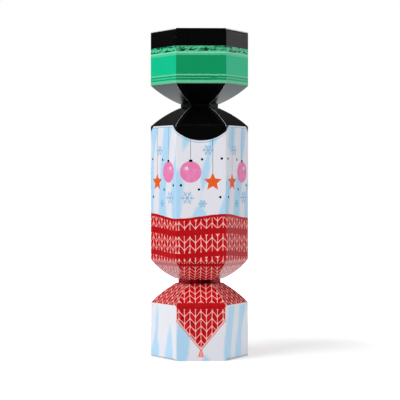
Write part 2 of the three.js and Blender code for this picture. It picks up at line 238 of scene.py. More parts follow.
class BoardSettings(bpy.types.PropertyGroup):
    board: length("Board thickness", "Thickness of the coated paperboard", 0.5)
    crease: length("Upright crease radius", "Outer radius of the six upright creases", 0.8)
    hollow: length("Panel hollow", "How far the middle of a panel may sink in", 0.09)
    lower_waist: length("Lower waist side", "Width of a strip at the lower waist", 12.2)
    upper_waist: length("Upper waist side", "Width of a strip at the upper waist", 10.7)
    waist_height: length("Waist height", "Height of the upright waist of a neck", 2.2)
    shoulder_bulge: length("Bulge under the body", "How far the strips bow out there", 1.2)
    foot_bulge: length("Bulge over the foot", "How far the strips bow out there", 0.6)
    upper_bulge: length("Upper neck bulge", "How far the strips bow out there", 0.85)
    lower_lip: length("Lower lip", "How far the lower neck swells over its tie's edges", 1.9)
    upper_lip: length("Upper lip", "How far the upper neck swells over its tie's edges", 1.1)
    mitre: bpy.props.FloatProperty(name="Mitre", description="Share of a slot's edge that the print covers",
                                   default=0.5, min=0, max=1, subtype="FACTOR")
    shoulder: length("Shoulder rounding", "Run of board taken up by a crease across it", 0.45)
    slit: length("Neck slit", "What is left open between two neck strips", 0.05)
    flap_inset: length("Flap inset", "How far a dust flap stays short of its panel's corners", 1.2)
    dust_depth: length("Dust flap depth", "Depth of a dust flap", 13)
    dust_tip: length("Dust flap tip", "Width of a dust flap at its inner end", 9.4)
    tuck_depth: length("Tuck flap depth", "Depth of the tuck flap", 11)
    tuck_width: length("Tuck flap width", "Width of the tuck flap at its crease", 27)
    tuck_taper: length("Tuck flap taper", "How much the tuck flap narrows at each end", 3)
    tuck_lean: angle("Tuck flap lean", "Lean of the tuck flap away from the front panel", 10)
    glue_width: length("Glue flap width", "Width of the flaps that close the side seam", 9)
    tie_corner: length("Tie corner radius", "Outer radius of a tie where it turns round a strip", 1.6)
    tie_cord: length("Tie cord pitch", "Width of one of the fine cords of a tie", 0.55)


class PrintSettings(bpy.types.PropertyGroup):
    black: colour("Black", "Black ink", (4, 4, 5))
    green: colour("Green", "Green of every second cap panel", (2, 152, 96))
    # A lighter copy of the green for every second cap panel, including the two beside the front: painted light, as if
    # those panels caught more light than the front.
    bright_green: colour("Bright green", "Green of the cap panels between", (4, 196, 142))
    pale_green: colour("Pale green", "Chalk stripes of the cap", (106, 206, 160))
    white: colour("White", "Coated white board", (233, 234, 241))
    pale_blue: colour("Pale blue", "Washes and snowflakes", (172, 218, 248))
    red: colour("Red", "Leaves of the knit", (228, 4, 20))
    deep_red: colour("Deep red", "Plain rows of the knit", (188, 2, 14))
    cream: colour("Cream", "Lines between the leaves of the knit", (255, 196, 190))
    pink: colour("Pink", "Baubles", (236, 126, 180))
    orange: colour("Orange", "Stars", (238, 96, 32))
    raw: colour("Raw board", "Uncoated inside and cut edges of the board", (230, 228, 224))
    stitch: length("Stitch width", "Width of one knit column", 6.6)
    row: length("Stitch height", "Height of one knit row", 4.4)


class BagSettings(bpy.types.PropertyGroup):
    film: length("Film thickness", "Thickness of the bag's film", 0.3)
    wrinkle: length("Wrinkle depth", "Depth of the wrinkles in the film", 0.35)
    crimp: length("Crimp pitch", "Distance between two ridges of a seal", 1.3)
    tooth: length("Seal tooth", "Depth of the teeth along a seal's cut edge", 0.5)
    unevenness: length("Bear unevenness", "How far a bear's surface strays from smooth", 0.12)
    crimson: colour("Crimson tie", "Lower tie", (196, 6, 44))
    black_tie: colour("Black tie", "Upper tie", (7, 7, 8))
    gummy_red: colour("Red gummy", "Red bears", (200, 26, 22))
    gummy_green: colour("Green gummy", "Green bears", (44, 150, 56))
    gummy_yellow: colour("Yellow gummy", "Yellow bears", (244, 196, 40))
    gummy_orange: colour("Orange gummy", "Orange bears", (240, 124, 26))
    gummy_clear: colour("Clear gummy", "Clear bears", (246, 238, 210))


class StudioSettings(bpy.types.PropertyGroup):
    distance: length("Camera distance", "Distance from the camera to the carton's axis", 900)
    height: length("Camera height", "Height of the camera above the floor", 110)
    lens: bpy.props.FloatProperty(name="Lens", description="Focal length", default=131.8, unit="CAMERA")
    swing: angle("Camera swing", "How far the camera stands round to the left", 2)
    aside: angle("Camera aim", "How far the camera looks past the carton's axis", 0.02)
    tilt: angle("Camera tilt", "How far the camera looks down", 0.9)
    key: bpy.props.FloatProperty(name="Key power", description="Lamp at the left", default=8.5, unit="POWER")
    fill: bpy.props.FloatProperty(name="Fill power", description="Lamp at the right", default=2.1,
                                  unit="POWER")
    sky: bpy.props.FloatProperty(name="Sky", description="Strength of the even light all round",
                                 default=0.60)


# Node trees


def operation(kind, swapped=False):
    """What an operator or method of a Value does: it adds a Math node."""
    def added(value, *others):
        places = (*others, value) if swapped else (value, *others)
        return value.graph.math(kind, *places)

    return added


class Value:
    """A socket; an expression on it adds its nodes."""

    def __init__(self, graph, socket):
        self.graph = graph
        self.socket = socket

    __add__ = __radd__ = operation("ADD")
    __mul__ = __rmul__ = operation("MULTIPLY")
    __sub__, __rsub__ = operation("SUBTRACT"), operation("SUBTRACT", swapped=True)
    __truediv__, __rtruediv__ = operation("DIVIDE"), operation("DIVIDE", swapped=True)
    __mod__ = operation("FLOORED_MODULO")
    __pow__ = operation("POWER")
    __abs__ = operation("ABSOLUTE")
    low, high = operation("MINIMUM"), operation("MAXIMUM")
    floor, sine, cosine = operation("FLOOR"), operation("SINE"), operation("COSINE")
    angle = operation("ARCTAN2")

    def __neg__(self):
        return self * -1

    def rise(self, start, end):
        """0 before start, 1 after end, smooth between."""
        smooth = {"interpolation_type": "SMOOTHSTEP"}
        return self.graph.value("ShaderNodeMapRange", self, start, end, settings=smooth)

    def within(self, size, soft):
        """1 where it is under size, with an edge as wide as soft."""
        return 1 - self.rise(size - soft / 2, size + soft / 2)


class Graph:
    """A node tree that is written as calls and expressions."""

    def __init__(self, tree):
        self.tree = tree
        tree.nodes.clear()

    def feed(self, socket, value):
        if isinstance(value, Value):
            self.tree.links.new(value.socket, socket)
        else:
            socket.default_value = (*value, 1) if socket.type == "RGBA" else value

    def node(self, kind, *places, settings=None, **sockets):
        """A node with its settings, and its sockets by place or by name."""
        made = self.tree.nodes.new(kind)
        for name, value in (settings or {}).items():
            setattr(made, name, value)
        for place, value in enumerate(places):
            self.feed(made.inputs[place], value)
        for name, value in sockets.items():
            self.feed(made.inputs[name.replace("_", " ")], value)
        return made

    def value(self, kind, *places, output=0, **rest):
        return Value(self, self.node(kind, *places, **rest).outputs[output])

    def math(self, kind, *values):
        return self.value("ShaderNodeMath", *values, settings={"operation": kind})

    def vector(self, x, y, z=0.0):
        return self.value("ShaderNodeCombineXYZ", x, y, z)

    def split(self, vector):
        return [Value(self, socket) for socket in self.node("ShaderNodeSeparateXYZ", vector).outputs]

    def noise(self, vector, scale, detail=2.0, roughness=0.5):
        return self.value("ShaderNodeTexNoise", Vector=vector, Scale=scale, Detail=detail,
                          Roughness=roughness)

    def print_noise(self, u, v, *looks):
        return self.noise(self.vector(u, v), *looks)

    def mix(self, factor, first, second):
        made = self.node("ShaderNodeMix", settings={"data_type": "RGBA"})
        for place, value in ((0, factor), (6, first), (7, second)):
            self.feed(made.inputs[place], value)
        return Value(self, made.outputs[2])

    def layered(self, tint, layers):
        """A colour with layers over it, each a mask and its ink."""
        for mask, ink in layers:
            tint = self.mix(mask, tint, ink)
        return tint


class Paint(Graph):
    """A material's tree."""

    def __init__(self, name):
        self.material = bpy.data.materials.new(name)
        self.material.use_nodes = True
        self.inks = bpy.context.scene.cracker_print
        super().__init__(self.material.node_tree)

    def object_place(self):
        """The place on the object, in metres."""
        return self.value("ShaderNodeTexCoord", output="Object")

    def level(self):
        """The height on the object, in millimetres."""
        return self.split(self.object_place())[2] / MM

    def print_place(self):
        """The place round and up the print, in millimetres."""
        place = self.value("ShaderNodeUVMap", settings={"uv_map": PRINT_MAP})
        return [part / MM for part in self.split(place)[:2]]

    def bump(self, height, depth, strength):
        """Relief as deep as depth, in millimetres."""
        return self.value("ShaderNodeBump", Height=height, Distance=depth * MM, Strength=strength)

    def finish(self, **sockets):
        shader = self.value("ShaderNodeBsdfPrincipled", **sockets)
        self.node("ShaderNodeOutputMaterial", shader)
        return self.material


def scaled(ink, factor, added=0.0):
    """A lighter or darker ink."""
    return tuple(min(1, c * factor + added) for c in ink)


def distance(x, y):
    return (x * x + y * y) ** 0.5


# Finishes, in millimetres


def finished(slot, make, *looks):
    """The finish of a slot, made once."""
    name = slot + "_finish"
    return bpy.data.materials.get(name) or make(Paint(name), *looks)


def coated(paint, tint, wear):
    """Gloss-coated printed board, rubbed where wear is 1."""
    place = paint.object_place()
    grain, mottle = paint.noise(place, 2600, 3), paint.noise(place, 240)
    return paint.finish(
        Base_Color=paint.mix(wear * 0.3, tint, paint.inks.raw), Roughness=0.17 + mottle * 0.08 + wear * 0.3,
        Coat_Weight=0.2 - wear * 0.15, Coat_Roughness=0.07, IOR=1.45,
        Normal=paint.bump(grain * 0.6 + mottle, 0.01, 0.6))


def crease_wear(paint, u, levels=()):
    """A faint broken line along the upright creases and the given levels."""
    chips = paint.noise(paint.object_place(), 900, 4, 0.7).rise(0.55, 0.75)
    line = abs((u + PANEL) % PANEL - PANEL / 2).within(0.08, 0.16)
    z = paint.level()
    for level in levels:
        line = line.high(abs(z - level).within(0.14, 0.2))
    return line * chips


def numbered(u):
    """The number of the panel, and 1 on every second one."""
    panel = (u / PANEL + 0.5).floor()
    return panel, abs(panel) % 2


def wobbled(paint, u, v, size):
    """The place on the print, moved a little as a hand-drawn line strays."""
    aside = paint.print_noise(u, v, 0.21) - 0.5
    along = paint.print_noise(u + 3100, v + 1700, 0.23) - 0.5  # read far off, so the two stray apart
    return u + aside * size, v + along * size


def knit(paint, u, v, tall=None):
    """Colour of a printed stocking stitch: slanted leaves with cream lines between."""
    inks = paint.inks
    wide, slope = inks.stitch / MM, 1.05
    x, y = wobbled(paint, u, v, 1.0)
    away = abs(x % wide - wide / 2)
    across = abs(away / (wide / 4) - 1)
    up = abs(((y - away * slope) / (tall or inks.row / MM)) % 1 - 0.5) * 2
    leaf = 1 - (across ** 7 + up ** 6).rise(0.38, 0.56)
    tone = paint.print_noise(x, y, 0.5).rise(0.3, 0.7)
    return paint.mix(leaf, inks.cream, paint.mix(tone, inks.red, scaled(inks.deep_red, 0.7)))


def washed_white(paint, u, v, odd):
    """Uneven white with long soft brush strokes of pale blue, fewer on every second panel."""
    pitch, widest = 15, 4.4
    sway = (v * 0.055 + paint.print_noise(u, v, 0.009, 1) * 6).sine() * 4.5
    lane = u + sway + 4
    from_middle = abs((lane / pitch) % 1 - 0.5) * pitch
    press = paint.print_noise((lane / pitch).floor() * 370, v, 0.022, 1)
    half = ((press - 0.35 - (1 - odd) * 0.09) * 40).low(widest)
    bristle = paint.print_noise(lane, v * 0.04, 1.1)
    wash = 1 - (from_middle + (bristle - 0.5) * 2.2 - half).rise(-1.3, 0.9)
    white = paint.mix(paint.print_noise(u, v, 0.04) * 0.6, paint.inks.white, SHADED_WHITE)
    return paint.mix(wash * (0.8 + bristle * 0.2), white, paint.inks.pale_blue)


def hem_depth(u):
    """How far the black hem hangs down the body: one broad scallop on every second panel."""
    half_width, depth = 18.6, 9.2
    from_scallop = abs((u + PANEL) % (2 * PANEL) - PANEL)
    return (1 - (from_scallop / half_width) ** 2.3).high(0.0) * depth


def black_print(paint):
    """Black ink, with the cap's chalk and the body's white where they reach over the creases."""
    inks = paint.inks
    u, v = paint.print_place()
    ink = paint.mix(paint.noise(paint.object_place(), 60) * 0.4, inks.black, scaled(inks.black, 1.6))
    over_cap = v.rise(CAP_BOTTOM, CAP_BOTTOM + 0.15) * (1 - v.rise(CAP_BOTTOM + 4, CAP_BOTTOM + 5))
    under_hem = (BODY_TOP - 0.1 - hem_depth(u) - paint.level()).rise(-0.1, 0.1)
    ink = paint.layered(ink, ((over_cap * 0.85, inks.pale_green), (under_hem, inks.white)))
    return coated(paint, ink, crease_wear(paint, u, (BODY_TOP, CAP_BOTTOM)))


def cap_print(paint):
    """Black above a green band edged with chalk stripes."""
    inks = paint.inks
    u, v = paint.print_place()
    crumbs = paint.print_noise(u * 0.35, v, 1.5, 4, 0.65)
    height = wobbled(paint, u, v, 0.35)[1] + (crumbs - 0.5) * 0.8 - CAP_BOTTOM
    pale, dark = inks.pale_green, scaled(inks.green, 0.5)
    broken = paint.print_noise(u * 0.25, v, 0.16).rise(0.30, 0.40)

    def band(low, high):
        return abs(height - (low + high) / 2).within((high - low) / 2, 0.12)

    stripes = (  # lower and upper edge, cover and ink
        (16.9, 18.2, 0.65, pale), (18.1, 19.0, 1.0, scaled(pale, 1.25)), (4.7, 5.5, 1.0, pale),
        (3.9, 4.5, 0.6, dark), (3.2, 3.6, broken * 0.6, pale), (2.3, 2.75, broken * 0.7, dark),
        (0.0, 2.0, 0.85, pale))
    # Every second panel takes the lighter green: lit and shaded copies of one green, painted light on the panels
    # beside the front.
    field = paint.mix(numbered(u)[1], inks.green, inks.bright_green)
    tint = paint.layered(field, [(band(low, high) * cover, ink) for low, high, cover, ink in stripes])

    # A blotchy stripe of chalk and dark crumbs, with a gap along it, under the black
    gap = abs(height - 20.9).within(0.25, 0.4)
    blot = (paint.print_noise(u * 0.3, v, 0.7, 3, 0.6) - gap * 0.14).rise(0.47, 0.54)
    chalk = paint.mix(crumbs.rise(0.4, 0.6), tint, pale)
    grime = paint.mix(crumbs.rise(0.45, 0.55), scaled(inks.black, 1.5), scaled(inks.green, 0.3))
    tint = paint.layered(tint, (
        (band(19.0, 22.4), paint.mix(blot * 0.92, chalk, grime)),
        (height.rise(22.3, 22.5), inks.black), (height.within(0.05, 0.2), inks.black)))
    return coated(paint, tint, crease_wear(paint, u))


def snowflake(x, y, size):
    """A six-armed flake about the origin of x and y."""
    flake = 0.0
    for arm in range(3):
        c, s = math.cos(arm * TURN), math.sin(arm * TURN)
        along, off = abs(x * c + y * s), abs(y * c - x * s)
        line = off.within(0.32, 0.14) * along.within(size, 0.2)
        twig = abs(along - off * 0.6 - size * 0.5).within(0.26, 0.14) * off.within(size * 0.3, 0.2)
        flake = line.high(twig).high(flake)
    return flake


def star(x, y, size):
    """A five-pointed star about the origin of x and y."""
    arm, notch = TURN * 1.2, 0.47
    fold = abs((x.angle(y) / arm + 0.5) % 1 - 0.5) * arm
    across, along = math.sin(arm / 2) * notch, 1 - math.cos(arm / 2) * notch
    edge = fold.cosine() * across + fold.sine() * along
    return (distance(x, y) * edge / across).within(size, 0.25)


def ornaments(paint, x, y, panel, odd):
    """Layers of hanging ornaments; every second panel has the mirrored layout."""
    inks = paint.inks
    own = (x - panel * PANEL) * (1 - odd * 2)
    threads = ((-6.2, 119.5), (7.0, 112.5))  # across, and the level of the lower end
    flakes = ((-8.2, 97.5, 4.2), (4.2, 126.0, 3.4), (1.0, 94.0, 2.6))  # across, level and size
    dots = ((0.6, 120.5), (-1.2, 102.5), (11.6, 98.0), (-12.0, 105.0), (12.4, 121.0))
    beside, above = own + 6.2, y - 113.0  # the place from the middle of a bauble
    brushed = paint.print_noise(x, y, 0.33, 3).rise(0.4, 0.7) * 0.5
    return (
        *((abs(own - across).within(0.16, 0.12) * (y - end).rise(-0.1, 0.1) * 0.8, inks.black)
          for across, end in threads),
        (distance(beside, above).within(6.4, 0.5),
         paint.mix(brushed, inks.pink, scaled(inks.pink, 1, 0.12))),
        (distance(beside + 2.4, above - 2.2).within(1.1, 0.6) * 0.8, inks.white),
        (abs(beside).within(1.1, 0.14) * abs(above - 6.7).within(0.7, 0.14), inks.black),
        (star(own - 7.0, y - 107.0, 5.6), inks.orange),
        *((snowflake(own - across, y - up, size) * 0.95, FLAKE_BLUE) for across, up, size in flakes),
        *((distance(own - across, y - up).within(0.75, 0.25), inks.black) for across, up in dots))


def pennant(paint, stitches, aside, y):
    """Layers of a broad knit pennant with a tassel, which hangs from the foot's shoulder."""
    inks = paint.inks
    deep, square, half = 25.5, 8.0, 14.4
    down = FOOT_TOP - y
    edge = aside - half * (1 - (down - square).high(0.0) / (deep - square))
    past = down - deep - 0.4
    in_tassel = (aside - (0.5 + past * 0.34)).within(0.0, 0.15) * abs(past - 2.6).within(2.4, 0.2)
    threads = abs((aside / (0.35 + past * 0.16)) % 1 - 0.5).within(0.3, 0.1)
    return (
        (in_tassel, paint.mix(threads, inks.red, inks.cream)),
        ((edge - 1.4).within(0.0, 0.15), inks.deep_red), ((edge - 1.0).within(0.0, 0.2), inks.cream),
        (edge.within(0.0, 0.2), paint.mix(1 - down.rise(2.0, 2.2), stitches, inks.deep_red)))


def body_print(paint):
    """White body with a black scalloped hem, ornaments and a knit band; the foot has knit pennants."""
    inks = paint.inks
    u, v = paint.print_place()
    x, y = wobbled(paint, u, v, 0.5)
    panel, odd = numbered(u)
    on_body = v.rise(BODY_BOTTOM - 1, BODY_BOTTOM)
    on_pennant = (1 - v.rise(FOOT_TOP, FOOT_TOP + 1)) * (1 - odd)
    below_hem = BODY_TOP - hem_depth(u) - y

    # The knit band has its upper edge in shallow waves, and three plain rows that follow them
    stitches = knit(paint, u, v)
    wave = (u * (math.pi / PANEL)).sine() * 1.4
    band_top = BODY_BOTTOM + 27.0 + wave
    plain = [abs(y - (BODY_BOTTOM + level) - wave * 0.6).within(wide / 2, 0.15)
             for level, wide in ((4.0, 3.0), (17.6, 3.6))]
    plain.append(abs(band_top - y - 0.8).within(0.8, 0.15))
    band = paint.layered(stitches, [(row, inks.deep_red) for row in plain])

    tint = paint.layered(washed_white(paint, u, v, odd), (
        *ornaments(paint, x, y, panel, odd),
        (abs(below_hem - 1.1).within(0.22, 0.16) * on_body, scaled(inks.pale_blue, 0.7)),
        (below_hem.within(0.0, 0.2) * on_body, inks.black),
        ((y - band_top).within(0.0, 0.2) * on_body, band),
        *((mask * on_pennant, ink) for mask, ink in pennant(paint, stitches, abs(u - panel * PANEL), y))))
    return coated(paint, tint, crease_wear(paint, u))


def knit_print(paint):
    """Knit of the lower neck, with plain rows at its creases and finer rows above its waist."""
    inks = paint.inks
    u, v = paint.print_place()
    z, odd = paint.level(), numbered(u)[1]
    waist, row = (FOOT_TOP + BODY_BOTTOM) / 2, inks.row / MM
    over_foot = abs(z - FOOT_TOP).within(1.5, 0.15) * (1 - odd)
    under_body = abs(z - BODY_BOTTOM + 2.2).within(0.9, 0.15)
    rows = paint.layered(knit(paint, u, v, row - z.rise(waist, waist + 0.1) * 0.32 * row), (
        (over_foot.high(under_body), inks.deep_red), (z.within(FOOT_TOP, 0.2) * odd, inks.white)))
    return coated(paint, rows, crease_wear(paint, u, (FOOT_TOP, BODY_BOTTOM)))


def base_print(paint):
    """The body's washes as far as the creases, then plain coated white with a faint scuff."""
    u, v = paint.print_place()
    scuff = paint.noise(paint.object_place(), 90, 5, 0.7).rise(0.5, 0.72)
    under = 1 - v.rise(-0.8, -0.3)
    plain = paint.mix(scuff * 0.3, paint.inks.white, SCUFFED_WHITE)
    washed = washed_white(paint, u, v, numbered(u)[1])
    return coated(paint, paint.mix(under, washed, plain), scuff * under * 0.3)


def raw_board(paint):
    """Uncoated board: fibres, faint grey flecks and a soft matt surface."""
    place, raw = paint.object_place(), paint.inks.raw
    fibre = paint.noise(place, 1800, 5, 0.65)
    tint = paint.layered(raw, (
        (fibre.rise(0.35, 0.7) * 0.6, scaled(raw, 0.86)), (paint.noise(place, 160, 3) * 0.25, CLOUDED_BOARD),
        (paint.noise(place, 1300).rise(0.68, 0.74) * 0.35, FLECK)))
    return paint.finish(Base_Color=tint, Roughness=0.8 + fibre * 0.15, Normal=paint.bump(fibre, 0.03, 0.8))


def tie_finish(paint, ink, foil):
    """Glossy band of fine slanting threads, with painted highlights on the thread crests and patches of painted shade
    placed at random; foil is how metallic it is.
    """
    place = paint.object_place()
    x, y, z = paint.split(place)
    threads = (y.angle(x) * 300 + z * 9000).sine()
    tone = paint.noise(place, 500)
    # The thread crests and a random tone are painted up to 1.8 times lighter: partly random tone, partly painted
    # highlight.
    lit = paint.mix(threads.rise(-0.6, 1.0) * 0.4 + tone * 0.2, ink, scaled(ink, 1.8))
    # Noise places patches of the ink at a quarter of its strength: painted shade, standing in for dark reflections
    # along the band.
    tint = paint.mix(paint.noise(place, 130).rise(0.44, 0.58), scaled(ink, 0.25), lit)
    return paint.finish(Base_Color=tint, Roughness=0.22 + tone * 0.12, Metallic=foil, Coat_Weight=0.15,
                        Coat_Roughness=0.1, Normal=paint.bump(threads, 0.03, 0.5))


def clear_film(paint):
    """Thin crinkled film that shows the bears."""
    crinkle = paint.noise(paint.object_place(), 300, 4, 0.6)
    tint = paint.mix(crinkle.rise(0.4, 0.7), (0.93, 0.95, 0.96), (0.99, 0.99, 0.99))
    return paint.finish(Base_Color=tint, Roughness=0.08 + crinkle * 0.1, Alpha=0.05 + crinkle * 0.2,
                        IOR=1.49, Normal=paint.bump(crinkle, 0.2, 0.5))


def gummy(paint, ink):
    """Cloudy sweet gelatine with an oiled skin."""
    place = paint.object_place()
    skin = paint.noise(place, 700, 1)
    tint = paint.mix(paint.noise(place, 260, 3), ink, scaled(ink, 1.35, 0.02))
    return paint.finish(Base_Color=tint, Roughness=0.12 + skin * 0.12, Transmission_Weight=0.35, IOR=1.47,
                        Subsurface_Weight=0.4, Subsurface_Scale=0.003, Normal=paint.bump(skin, 0.03, 0.4))


PRINTS = {"black_print": black_print, "cap_print": cap_print, "body_print": body_print,
          "knit_print": knit_print, "base_print": base_print}


def printed(name):
    """The finishes of a sheet of board: a print outside, and bare board inside and at the cuts."""
    return finished(name, PRINTS[name]), finished("raw_board", raw_board)


# Shapes


def linked(name, data, *finishes):
    """An object for a mesh, a lamp or a camera, in the scene."""
    for finish in finishes:
        data.materials.append(finish)
    made = bpy.data.objects.new(name, data)
    bpy.context.scene.collection.objects.link(made)
    return made


def mesh_of(name, shape):
    """The mesh of a bmesh, which is then freed."""
    mesh = bpy.data.meshes.new(name)
    shape.to_mesh(mesh)
    shape.free()
    return mesh


def plain_result(maker):
    """What an object's modifiers make of it, as a plain mesh. The object goes."""
    result = bpy.data.meshes.new_from_object(maker.evaluated_get(bpy.context.evaluated_depsgraph_get()))
    maker.modifiers.clear()
    bpy.data.objects.remove(maker)
    return result


def side_angle(side):
    """The direction out of a side."""
    return side * TURN - math.pi / 2


def plan(side, out, across):
    """A point of the plan: so far out of a side and so far along it."""
    a = side_angle(side)
    return Vector((math.cos(a) * out - math.sin(a) * across, math.sin(a) * out + math.cos(a) * across))


def spread(start, end, count):
    return [start + (end - start) * i / count for i in range(count + 1)]


def bezier(start, control, end, steps):
    return [start * (1 - t) ** 2 + control * 2 * t * (1 - t) + end * t ** 2 for t in spread(0, 1, steps)]


def rounded(points, run):
    """A line whose inner corners are rounded over the given run on both sides."""
    points = [Vector(p) for p in points]
    line = [points[0]]
    for before, corner, after in zip(points, points[1:], points[2:]):
        start, end = (corner + (p - corner).normalized() * min(run, (p - corner).length / 2)
                      for p in (before, after))
        line += bezier(start, corner, end, 5)
    return [*line, points[-1]]


def offset(line, away):
    """The line moved so far to its left."""
    moved = []
    for i, point in enumerate(line):
        before = (point - line[i - 1]).normalized() if i else (line[1] - point).normalized()
        after = (line[i + 1] - point).normalized() if i + 1 < len(line) else before
        left = Vector((-before.y - after.y, before.x + after.x)).normalized()
        moved.append(point + left * away / max(0.3, left.dot(Vector((-before.y, before.x)))))
    return moved


def run_lengths(line):
    """How far along the line each of its points lies."""
    return [0.0, *accumulate((after - before).length for before, after in zip(line, line[1:]))]


def board(name, rows, columns, place, finishes, present=lambda row, column: True, ring=False):
    """A sheet of board. place(row, column) gives the printed point, the inside point and the place on the
    print. Cells that aren't present are cut out, and every cut gets its raw edge."""
    shape = bmesh.new()
    layer = shape.loops.layers.uv.new(PRINT_MAP)
    cells = columns if ring else columns - 1
    made = {}

    def corner(face, row, column):
        key = (face, row, column % columns if ring else column)
        if key not in made:
            made[key] = shape.verts.new(place(row, key[2])[face])
        return made[key]

    def quad(corners, material):
        try:
            face = shape.faces.new([corner(*c) for c in corners])
        except ValueError:  # the face is there already
            return
        face.material_index = material
        face.smooth = True
        for loop, (_, row, column) in zip(face.loops, corners):
            loop[layer].uv = place(row, column)[2]

    def there(row, column):
        column = column % columns if ring else column
        return 0 <= row < rows - 1 and 0 <= column < cells and present(row, column)

    for i in range(rows - 1):
        for j in range(cells):
            if not there(i, j):
                continue
            loop = [(i, j), (i, j + 1), (i + 1, j + 1), (i + 1, j)]
            quad([(0, *c) for c in loop], 0)
            quad([(1, *c) for c in reversed(loop)], 1)
            for edge, neighbour in enumerate(((i - 1, j), (i, j + 1), (i + 1, j), (i, j - 1))):
                if not there(*neighbour):
                    a, b = loop[edge], loop[(edge + 1) % 4]
                    quad([(0, *b), (0, *a), (1, *a), (1, *b)], 1)
    bmesh.ops.recalc_face_normals(shape, faces=shape.faces)
    mesh = mesh_of(name, shape)
    mesh.set_sharp_from_angle(angle=math.radians(35))
    return linked(name, mesh, *finishes)


def standing_in(piece, node, slot, body=CARTON):
    """Rides a piece on its body in place of one node of the frame."""
    if body:
        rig.ride(piece, body)
    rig.replaces(piece, node)
    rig.slot(piece, slot)


def flap_edge(sizes):
    """How far along its panel the cut beside a dust flap's crease lies."""
    return SIDE / 2 - sizes.flap_inset + FLAP_CLEAR


def wall_columns(sizes):
    """The plan of a wall: printed point, inside point, place round the print, side and place along it."""
    thick, radius, inner_radius = sizes.board, sizes.crease, max(sizes.crease - sizes.board, LEAST_RADIUS)
    flat, inner_flat = (APOTHEM - radius) / ROOT3, (APOTHEM - thick - inner_radius) / ROOT3
    flap = flap_edge(sizes)
    columns = []
    for side in range(6):
        for stop in [-flat, *spread(-flap, flap, 8), flat]:
            inside = plan(side, APOTHEM - thick, stop * (inner_flat / flat if abs(stop) == flat else 1))
            columns.append((plan(side, APOTHEM, stop), inside, side * SIDE + stop, side, stop))
        for share in spread(0, 1, 5)[1:-1]:
            a = side_angle(side) + TURN * share
            turn = Vector((math.cos(a), math.sin(a)))
            outer = plan(side, APOTHEM - radius, flat) + turn * radius
            inner = plan(side, APOTHEM - thick - inner_radius, inner_flat) + turn * inner_radius
            stop = flat + (SIDE - 2 * flat) * share
            columns.append((outer, inner, side * SIDE + stop, side, stop))
    return columns


def make_wall(sizes, part, slot, low, high, low_end=False, high_end=False):
    """A length of the hexagonal tube. At a closed end each panel stops where its flap's crease begins."""
    columns = wall_columns(sizes)
    flap = flap_edge(sizes)
    cuts = (0.0, UNDER_PANEL, BEND, UNDER_PANEL + BEND)  # below the end's face
    levels = spread(low, high, max(4, round((high - low) / WALL_ROW)))
    if high_end:
        levels = [z for z in levels if z < high - END_ROWS] + [high - c for c in reversed(cuts)]
    if low_end:
        levels = [low + c for c in cuts] + [z for z in levels if z > low + END_ROWS]

    def cut_of(side, along):
        """How far short of the end's face a column of cells stops."""
        if side == FRONT and abs(along) < SIDE / 2:
            return cuts[0]
        if side == BACK and abs(along) < (APOTHEM - sizes.crease) / ROOT3:
            return cuts[2]
        return cuts[3] if abs(along) < flap else cuts[1]

    def middle(column):
        side, here = columns[column][3:]
        after_side, after = columns[(column + 1) % len(columns)][3:]
        along = (here + (after if after_side == side else SIDE + after)) / 2
        return ((side + 1) % 6, along - SIDE) if along > SIDE / 2 else (side, along)

    def present(row, column):
        side, along = middle(column)
        level, cut = (levels[row] + levels[row + 1]) / 2, cut_of(side, along)
        in_seam = side == SEAM_SIDE and -SIDE / 2 <= along < -SIDE / 2 + SEAM_GAP
        return not (in_seam or (high_end and level > high - cut) or (low_end and level < low + cut))

    def place(row, column):
        lap, column = divmod(column, len(columns))
        outer, inner, u, side, along = columns[column]
        z = levels[row]
        falloff = max(0, 1 - (2 * along / SIDE) ** 2) * min(1, (z - low) / FADE, (high - z) / FADE)
        where = Vector((outer.x * WAVES_ACROSS, outer.y * WAVES_ACROSS, z * WAVES_UP))
        waves = 0.5 + 0.5 * noise.noise(where)
        inward = plan(side, -sizes.hollow * max(0, falloff) * waves, 0)
        return (*(outer + inward), z), (*(inner + inward), z), (u + 6 * SIDE * lap, z)

    wall = board(f"printed_{part}_wall", len(levels), len(columns), place, printed(slot), present, ring=True)
    standing_in(wall, f"{part}_wall", slot)


def neck_profile(sizes, bottom, top, waist_side, bulges, lip):
    """A neck seen from the side, as the printed face of one strip."""
    waist, middle, half = waist_side * ROOT3 / 2, (bottom + top) / 2, sizes.waist_height / 2
    drop = 0.06 * lip  # of a lip past its tie's edge

    def bowed(start, end, bulge):
        run = (end - start).normalized()
        return bezier(start, (start + end) / 2 + Vector((run.y, -run.x)) * 2 * bulge, end, 12)

    low, high = Vector((APOTHEM, bottom)), Vector((APOTHEM, top))
    lower = bowed(low, Vector((waist + lip, middle - half - drop)), bulges[0])
    upper = bowed(Vector((waist + lip, middle + half + drop)), high, bulges[1])
    beyond = Vector((0, 2 * sizes.shoulder))
    waist_ends = Vector((waist, middle - half)), Vector((waist, middle + half))
    corners = rounded([low - beyond, low, lower[4]], sizes.shoulder)[:-1]
    pinch = rounded([*lower[-2:], *waist_ends, *upper[:2]], SMALL_ROUND)[1:-1]
    crown = rounded([upper[-5], high, high + beyond], sizes.shoulder)[1:]
    return [*corners, *lower[2:-1], *pinch, *upper[1:-2], *crown]


def make_strip(name, side, lines, rows, first, direction, finishes, inner_rows=None, **rest):
    """A strip of board along the printed and the inside line seen from its side. rows gives each row's
    places across it, and first and direction its place up the print."""
    line, inner = lines
    inner_rows = inner_rows or rows
    lengths = run_lengths(line)

    def place(row, column):
        across = rows[row][column]
        within = plan(side, inner[row].x, inner_rows[row][column])
        return ((*plan(side, line[row].x, across), line[row].y), (*within, inner[row].y),
                (side * SIDE + across, first + direction * lengths[row]))

    return board(name, len(line), len(rows[0]), place, finishes, **rest)


def even(half_widths):
    """Rows of eleven even places, as wide as the half widths say."""
    return [spread(-half, half, 10) for half in half_widths]


